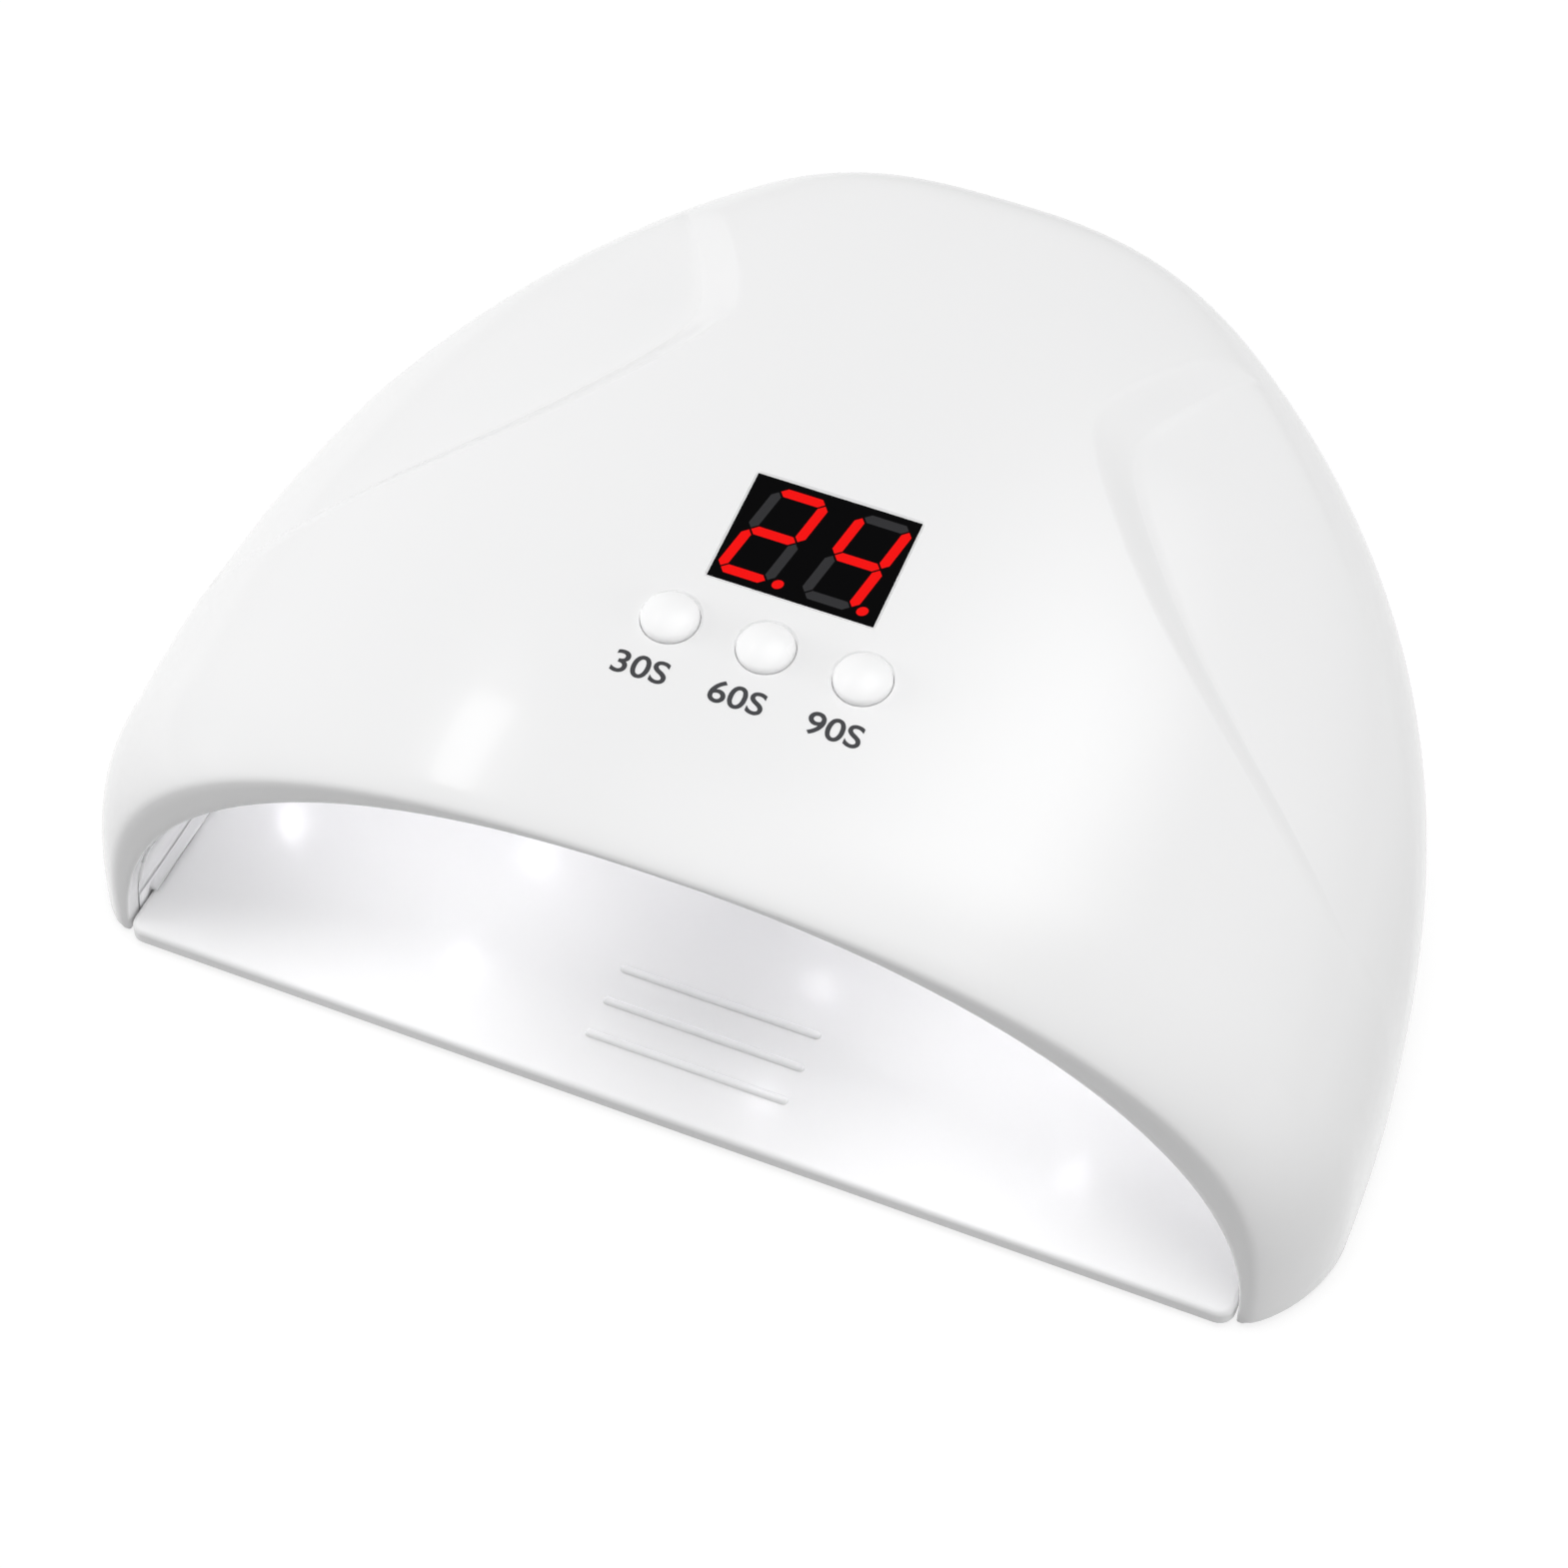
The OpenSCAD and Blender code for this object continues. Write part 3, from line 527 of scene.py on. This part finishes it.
def hard(edge, angle):
    return len(edge.link_faces) == 2 and edge.calc_face_angle() > radians(angle)


def ease_edges(bm, edges, width, segments):
    bmesh.ops.bevel(bm, geom=edges, offset=width * MM, segments=segments, profile=0.5,
                    affect="EDGES", clamp_overlap=True, material=-1)


def soften(node, name, body, width, segments):
    """A copy of a CAD node with its hard edges eased, in the node's place."""
    bm = node_copy(node)
    join_flat(bm)
    ease_edges(bm, [e for e in bm.edges if hard(e, EASED_ANGLE)], width, segments)
    piece = finish_piece(name, bm, NODE_MATERIALS[node], body)
    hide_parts(node)


# The housing: one closed shell, from the back over the outside, round the rim and back inside

SIDE_LOW, SIDE_STEP, SIDE_HIGH = 46, 16, 44
FOOT_COLS = 4
FOLD_Y = 10
FOLD_LEAN = 0.6
INNER_FOOT_R = -0.2
LIP_END = 15
BEND_FRONT, BEND_BACK = 84, 103
OUTER_STATIONS = stations(
    ((0.0, 4), (RIM_END, 22), (LIP_END, 20), (RECESS_FRONT, 46), (BEND_FRONT, 34), (BEND_BACK, 14)),
    RECESS_BACK, BODY_D, 34)
INNER_STATIONS = stations(((RIM_T, 9), (RECESS_FRONT, 22)), RECESS_BACK, BODY_D - WALL, 12)
RIM_STEPS = 5
WINDOW_EASE = 0.25
HOLE_EASE = 0.2
HOLE_SINK = 0.22
HOLE_SIDE_SINK = 0.12
JACK_EASE = 0.3


def side_angles(y):
    edge, floor = edge_u(y), floor_u(y)
    return (spread(0, floor, SIDE_LOW) + spread(floor, edge, SIDE_STEP)
            + spread(edge, pi / 2, SIDE_HIGH) + [pi / 2])


def full_angles(y):
    side = side_angles(y)
    return side + [pi - u for u in reversed(side[:-1])]


def fold_foot(point, col, cols, radius):
    """Rounds the foot: the first columns turn in under the wall's lowest points."""
    lead = min(col, cols - 1 - col)
    if lead >= FOOT_COLS:
        return point
    turn = pi / 2 * (1 - lead / FOOT_COLS)
    x, y, z = point
    inward = Vector((-x, -(y + FOLD_Y) * FOLD_LEAN, 0)).normalized()
    return (x + inward.x * radius * (1 - cos(turn)), y + inward.y * radius * (1 - cos(turn)),
            FOOT_H + abs(radius) * (1 - sin(turn)))


def shell_rows():
    """The rows from the back over the dome, round the rim and along the inside.

    A dome row has its station and inset, a rim row its station and how far it lies from dome to opening."""
    rows = [("dome", y, 0.0) for y in reversed(OUTER_STATIONS)]
    rows += [("rim", 0.0, 0.3), ("rim", 0.0, 0.6)]
    for k in range(RIM_STEPS + 1):
        turn = pi / 2 * k / RIM_STEPS
        rows.append(("rim", RIM_R * (1 - cos(turn)), 1 - RIM_R / RIM_WIDE * (1 - sin(turn))))
    rows += [("rim", RIM_END, 1.0), ("rim", RIM_T, 1.0)]
    return rows + [("dome", y, WALL) for y in INNER_STATIONS]


def housing_cutters():
    """The display's window, the three button holes and the inlet's hole."""
    cutters = [window_cutter(PANEL, DISPLAY_W + 2 * DISPLAY_GAP, DISPLAY_H + 2 * DISPLAY_GAP, WINDOW_EASE)]
    for k in (-1, 0, 1):
        sink = -HOLE_SINK - HOLE_SIDE_SINK * abs(k)
        spot = PANEL @ Matrix.Translation((k * BUTTON_PITCH, -BUTTON_DROP, sink))
        cutters.append(round_cutter(spot, BUTTON_D / 2 + BUTTON_GAP, HOLE_EASE))
    back = (Matrix.Translation((0, (BODY_D - MID_Y) * MM, (FOOT_H + JACK_Z) * MM))
            @ Euler((-pi / 2, 0, 0)).to_matrix().to_4x4() @ Matrix.Scale(MM, 4))
    cutters.append(round_cutter(back, JACK_D / 2 + JACK_GAP, JACK_EASE))
    return cutters


def make_housing():
    rows = shell_rows()
    angle_cache = {}

    def angles(y):
        key = round(y, 4)
        if key not in angle_cache:
            angle_cache[key] = full_angles(y)
        return angle_cache[key]

    count = len(angles(0.0))
    cols = count + 2 * FOOT_COLS

    def place(row, col):
        kind, station, third = rows[row]
        index = int(clamp(col - FOOT_COLS, 0, count - 1))
        if kind == "dome":
            x, y, z = dome_point(station, angles(station)[index], third)
            return fold_foot((x, y, lifted(z)), col, cols, FOOT_R if third == 0 else INNER_FOOT_R)
        u = angles(0.0)[index]
        outer = dome_point(0.0, u)
        x = outer[0] + (round_x(OPENING_W / 2, ARCH_Q, u) - outer[0]) * third
        z = outer[2] + (FOOT_H + round_z(OPENING_H, ARCH_Q, u) - outer[2]) * third
        return fold_foot((x, station - MID_Y, lifted(z)), col, cols, 0.0)

    bm = grid_surface(len(rows), cols, place)
    close_shell(bm)
    piece = finish_piece("housing_shell", bm, HOUSING, "lamp", 40)
    cut(piece, housing_cutters())
    shade(piece.data, 38)
    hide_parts("top_housing")


make_housing()


# The buttons: domed caps, each a revolved profile on its own body

CAP_DOME = 1.1
CAP_EDGE = 0.8
STEM_R = 1.8
STEM_Z = -4.15
COLLAR_OUT = 1.3
COLLAR_LOW, COLLAR_TOP = -4.05, -3.25
EDGE_STEPS = 8
DOME_STEPS = 14
SPIN_STEPS = 96


def make_button(key, x):
    cap_r = BUTTON_D / 2
    collar_r = cap_r + COLLAR_OUT
    ball = (cap_r ** 2 + CAP_DOME ** 2) / (2 * CAP_DOME)
    lean = asin((cap_r - CAP_EDGE) / (ball - CAP_EDGE))
    edge_z = BUTTON_TOP - ball + (ball - CAP_EDGE) * cos(lean)
    profile = [(0, STEM_Z), (STEM_R, STEM_Z), (STEM_R, COLLAR_LOW), (collar_r, COLLAR_LOW),
               (collar_r, COLLAR_TOP), (cap_r, COLLAR_TOP)]
    for k in range(EDGE_STEPS):
        turn = pi / 2 + (lean - pi / 2) * k / EDGE_STEPS
        profile.append((cap_r - CAP_EDGE + CAP_EDGE * sin(turn), edge_z + CAP_EDGE * cos(turn)))
    for k in range(DOME_STEPS + 1):
        turn = lean * (1 - k / DOME_STEPS)
        profile.append((ball * sin(turn), BUTTON_TOP - ball + ball * cos(turn)))
    bm = bmesh.new()
    verts = [bm.verts.new((r, 0, z)) for r, z in profile]
    edges = [bm.edges.new(pair) for pair in zip(verts, verts[1:])]
    bmesh.ops.spin(bm, geom=verts + edges, cent=(0, 0, 0), axis=(0, 0, 1), angle=2 * pi,
                   steps=SPIN_STEPS, use_merge=True)
    bmesh.ops.remove_doubles(bm, verts=bm.verts[:], dist=1e-4)
    bmesh.ops.recalc_face_normals(bm, faces=bm.faces[:])
    bmesh.ops.transform(bm, matrix=PANEL @ Matrix.Translation((x, -BUTTON_DROP, 0)), verts=bm.verts[:])
    piece = finish_piece("cap_" + key, bm, CAP, "key_" + key, 50)
    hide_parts("button_" + key)


for step, key in zip((-1, 0, 1), ("30s", "60s", "90s")):
    make_button(key, step * BUTTON_PITCH)


# The labels under the buttons, laid on the dome

LABEL_H = 3.7
LABEL_W = 8.1
LABEL_DROP = 8.8
LABEL_SHIFT = -0.6
LABEL_BOLD = 0.045
LABEL_LIFT = 0.02
LABEL_T = 0.03


def make_label(text, x):
    curve = bpy.data.curves.new("label_" + text, "FONT")
    curve.body = text
    curve.size = LABEL_H
    curve.offset = LABEL_BOLD
    words = add_object("words", curve)
    graph = bpy.context.evaluated_depsgraph_get()
    flat = bpy.data.meshes.new_from_object(words.evaluated_get(graph))
    bpy.data.objects.remove(words)
    bm = bmesh.new()
    bm.from_mesh(flat)
    bmesh.ops.remove_doubles(bm, verts=bm.verts[:], dist=1e-5)
    low = [min(v.co[k] for v in bm.verts) for k in (0, 1)]
    high = [max(v.co[k] for v in bm.verts) for k in (0, 1)]
    bmesh.ops.translate(bm, verts=bm.verts[:], vec=[-(low[0] + high[0]) / 2, -(low[1] + high[1]) / 2, 0])
    bmesh.ops.scale(bm, verts=bm.verts[:],
                    vec=(LABEL_W / (high[0] - low[0]), LABEL_H / (high[1] - low[1]), 1))
    bmesh.ops.translate(bm, verts=bm.verts[:], vec=(x + LABEL_SHIFT, -BUTTON_DROP - LABEL_DROP, 0))
    bmesh.ops.transform(bm, matrix=PANEL, verts=bm.verts[:])
    for vert in bm.verts:
        vert.co.z = (dome_z(vert.co.x / MM, vert.co.y / MM) + LABEL_LIFT) * MM
    done = bmesh.ops.extrude_face_region(bm, geom=bm.faces[:])
    raised = [v for v in done["geom"] if isinstance(v, bmesh.types.BMVert)]
    bmesh.ops.translate(bm, verts=raised, vec=(0, 0, LABEL_T * MM))
    bmesh.ops.recalc_face_normals(bm, faces=bm.faces[:])
    finish_piece("label_" + text.lower(), bm, INK, "lamp")


for step, text in zip((-1, 0, 1), ("30S", "60S", "90S")):
    make_label(text, step * BUTTON_PITCH)


# The tray keeps its solid, with a round front edge and round ribs

RIB_H = 0.6
RIB_ROUND = 0.5
TRAY_ROUND = 0.8
TRAY_ANGLE = 50
NEAR = 2e-5
BESIDE = 5e-5


def make_tray():
    bm = node_copy("base_tray")
    join_flat(bm)
    rib_z = max(v.co.z for v in bm.verts)
    top_z = rib_z - RIB_H * MM

    def corner(edge, z):
        return all(abs(v.co.z - z) < NEAR for v in edge.verts) and hard(edge, TRAY_ANGLE)

    ease_edges(bm, [e for e in bm.edges if corner(e, rib_z)], RIB_ROUND, 5)
    ribs = [v.co for v in bm.verts if v.co.z > top_z + NEAR]
    reach_x = max(abs(c.x) for c in ribs) + BESIDE
    front, back = min(c.y for c in ribs) - BESIDE, max(c.y for c in ribs) + BESIDE

    def by_rib(edge):
        middle = (edge.verts[0].co + edge.verts[1].co) / 2
        return abs(middle.x) < reach_x and front < middle.y < back

    ease_edges(bm, [e for e in bm.edges if corner(e, top_z) and not by_rib(e)], TRAY_ROUND, 6)
    piece = finish_piece("tray_plate", bm, TRAY, "tray", 40)
    for face in piece.data.polygons:
        if abs(face.normal.z) > 0.9999:
            face.use_smooth = False
    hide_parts("base_tray")


make_tray()

soften("dc_jack", "power_socket", "lamp", 0.2, 2)
soften("rubber_feet", "round_feet", "lamp", 0.4, 3)
soften("liner_screws", "flange_screws", "lamp", 0.2, 2)


# The reflector keeps its solid, and its bowl is cut smooth above the tray

BOWL_FOOT = FOOT_H + 4.2
BOWL_GROW = 0.05
BOWL_COLS = 96
BOWL_PAST = 4


def liner_w(y):
    return OPENING_W / 2 * arc((y - LINER_BELLY) / (LINER_BACK - LINER_BELLY), PLAN_N) + BOWL_GROW


def liner_top(y):
    if y > LINER_CROWN:
        return LINER_H * arc((y - LINER_CROWN) / (LINER_BACK - LINER_CROWN), BACK_M) + BOWL_GROW
    return LINER_H + MOUTH_RISE * clamp((LINER_BELLY - y) / (LINER_BELLY - RIM_T)) ** 2 + BOWL_GROW


def make_reflector():
    foot = BOWL_FOOT - FOOT_H
    last = LINER_BACK
    while liner_top(last) < foot:
        last -= 0.002
    rows = stations(((LINER_FRONT - BOWL_PAST, 14), (LINER_BELLY, 30)), LINER_CROWN, last, 32)

    def place(row, col):
        y = rows[row]
        w, h = liner_w(y), max(liner_top(y), foot)
        low = asin((foot / h) ** (ARCH_Q / 2))
        u = low + (pi - 2 * low) * col / (BOWL_COLS - 1)
        return round_x(w, ARCH_Q, u), y - MID_Y, FOOT_H + round_z(h, ARCH_Q, u)

    bowl = grid_surface(len(rows), BOWL_COLS, place)
    close_shell(bowl)
    piece = finish_piece("reflector_bowl", node_copy("reflector_liner"), REFLECTOR, "lamp")
    cut(piece, [cutter_object(bowl)])
    shade(piece.data, 32)
    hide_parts("reflector_liner")


make_reflector()


# Stage, lamps and camera

FLOOR_HALF = 3
FLOOR_GREY = 0.35
FLOOR_SHADE = 0.25
FLOOR_GLOW = 0.8
WORLD_LEVEL = 0.33


def square_mesh(name, half):
    bm = bmesh.new()
    bmesh.ops.create_grid(bm, x_segments=1, y_segments=1, size=half)
    return mesh_of(bm, name)


def seen_rays(nodes, links):
    """1 for what is seen, straight or in gloss and glass, and 0 for the light that falls on the object."""
    paths = nodes.new("ShaderNodeLightPath")
    total = paths.outputs["Is Camera Ray"]
    for kind in ("Is Glossy Ray", "Is Transmission Ray"):
        more = nodes.new("ShaderNodeMath")
        more.operation = "MAXIMUM"
        links.new(total, more.inputs[0])
        links.new(paths.outputs[kind], more.inputs[1])
        total = more.outputs[0]
    return total


def join_shaders(nodes, links, kind, first, second, share=None):
    """Adds two shaders, or mixes them by a share."""
    both = nodes.new(kind)
    if share:
        links.new(share, both.inputs["Fac"])
    start = 1 if share else 0
    links.new(first.outputs[0], both.inputs[start])
    links.new(second.outputs[0], both.inputs[start + 1])
    return both


def make_floor():
    """White with a faint shadow where it is seen, grey for the light it throws back, and clear from below."""
    floor = add_object("floor", square_mesh("floor", FLOOR_HALF))
    material, nodes, links, shader = node_material("white_floor")
    shader.inputs["Base Color"].default_value = (FLOOR_GREY, FLOOR_GREY, FLOOR_GREY, 1)
    shader.inputs["Roughness"].default_value = 0.9
    shader.inputs["Specular IOR Level"].default_value = 0.0
    glow = nodes.new("ShaderNodeEmission")
    glow.inputs["Strength"].default_value = FLOOR_GLOW
    faint = nodes.new("ShaderNodeBsdfDiffuse")
    faint.inputs["Color"].default_value = (FLOOR_SHADE, FLOOR_SHADE, FLOOR_SHADE, 1)
    white = join_shaders(nodes, links, "ShaderNodeAddShader", glow, faint)
    seen = join_shaders(nodes, links, "ShaderNodeMixShader", shader, white, seen_rays(nodes, links))
    clear = nodes.new("ShaderNodeBsdfTransparent")
    below = nodes.new("ShaderNodeNewGeometry").outputs["Backfacing"]
    above = join_shaders(nodes, links, "ShaderNodeMixShader", seen, clear, below)
    links.new(above.outputs[0], nodes["Material Output"].inputs["Surface"])
    floor.data.materials.append(material)


def make_world():
    """Pale where it is seen, and a soft even light on the object."""
    world = bpy.data.worlds.new("studio")
    bpy.context.scene.world = world
    world.use_nodes = True
    nodes, links = world.node_tree.nodes, world.node_tree.links
    light = nodes["Background"]
    light.inputs["Color"].default_value = (1, 1, 1, 1)
    light.inputs["Strength"].default_value = WORLD_LEVEL
    pale = nodes.new("ShaderNodeBackground")
    pale.inputs["Strength"].default_value = 1.0
    both = join_shaders(nodes, links, "ShaderNodeMixShader", light, pale, seen_rays(nodes, links))
    links.new(both.outputs[0], nodes["World Output"].inputs["Surface"])


def area_lamp(name, place, size, power, target=(0, 0, 0.04)):
    """A soft lamp that lights the object and isn't mirrored in it."""
    data = bpy.data.lights.new(name, "AREA")
    data.size = size
    data.energy = power
    lamp = add_object(name, data)
    lamp.location = place
    lamp.rotation_euler = (Vector(target) - Vector(place)).to_track_quat("-Z", "Y").to_euler()
    lamp.visible_glossy = False
    lamp.visible_camera = False


def mirrored_plate(name, spot, towards, wide, high, strength, faded):
    """A bright plate a metre from a spot of the dome, in the way that the camera's view of it is mirrored."""
    plate = add_object(name, square_mesh(name, 0.5))
    towards = Vector(towards).normalized()
    plate.location = Vector(spot) * MM + towards
    plate.rotation_euler = (-towards).to_track_quat("Z", "Y").to_euler()
    plate.scale = (wide, high, 1)
    material, nodes, links = node_material(name)[:3]
    glow = nodes.new("ShaderNodeEmission")
    glow.inputs["Strength"].default_value = strength
    if faded:
        coord = nodes.new("ShaderNodeTexCoord")
        reach = nodes.new("ShaderNodeVectorMath")
        reach.operation = "LENGTH"
        fade = nodes.new("ShaderNodeMapRange")
        fade.interpolation_type = "SMOOTHSTEP"
        fade.inputs["From Max"].default_value = 0.5
        fade.inputs["To Min"].default_value = strength
        fade.inputs["To Max"].default_value = 0
        links.new(coord.outputs["Object"], reach.inputs[0])
        links.new(reach.outputs["Value"], fade.inputs["Value"])
        links.new(fade.outputs["Result"], glow.inputs["Strength"])
    clear = nodes.new("ShaderNodeBsdfTransparent")
    both = join_shaders(nodes, links, "ShaderNodeAddShader", glow, clear)
    links.new(both.outputs[0], nodes["Material Output"].inputs["Surface"])
    plate.data.materials.append(material)
    plate.visible_camera = plate.visible_diffuse = plate.visible_shadow = plate.visible_transmission = False


make_floor()
make_world()
area_lamp("overhead", (0, -0.1, 1.25), 0.7, 8.9)
area_lamp("left_side", (-1.2, -0.3, 0.2), 0.5, 6)
area_lamp("right_side", (1.2, -0.15, 0.18), 0.5, 4.2)
for side in (-1, 1):
    area_lamp("inside", (side * 0.045, -0.045, 0.036), 0.05, 0.009, (side * 0.05, -0.04, 0))
mirrored_plate("broad_shine", (42.4, -33.5, 63.6), (0.109, 0.305, 0.946), 0.9, 0.9, 2.3, True)
mirrored_plate("side_shine", (-33, -60, 59), (-0.515, 0.06, 0.85), 0.42, 0.09, 2.9, False)

# Where the photograph was taken from, in degrees and millimetres
VIEW_AROUND = 20.03
VIEW_ABOVE = 48.28
VIEW_ROLL = 2.56
VIEW_DISTANCE = 588
VIEW_TARGET = (0, 70 - MID_Y, 30 + FOOT_H)
PHOTO_PX = 1569
FOCAL_PX = 3926
CENTRE_PX = (67.1, -135.8)
SENSOR_W = 36


def make_camera():
    around, above, roll = map(radians, (VIEW_AROUND, VIEW_ABOVE, VIEW_ROLL))
    back = Vector((sin(around) * cos(above), -cos(around) * cos(above), sin(above)))
    level = Vector((cos(around), sin(around), 0))
    upright = back.cross(level)
    right = level * cos(roll) + upright * sin(roll)
    up = upright * cos(roll) - level * sin(roll)
    data = bpy.data.cameras.new("camera")
    data.sensor_width = SENSOR_W
    data.lens = FOCAL_PX / PHOTO_PX * SENSOR_W
    data.shift_x = -CENTRE_PX[0] / PHOTO_PX
    data.shift_y = CENTRE_PX[1] / PHOTO_PX
    data.clip_start = 0.01
    camera = add_object("camera", data)
    turn = Matrix((right, up, back)).transposed().to_4x4()
    camera.matrix_world = Matrix.Translation((Vector(VIEW_TARGET) + back * VIEW_DISTANCE) * MM) @ turn
    bpy.context.scene.camera = camera


make_camera()
bpy.context.scene.view_settings.view_transform = "Standard"
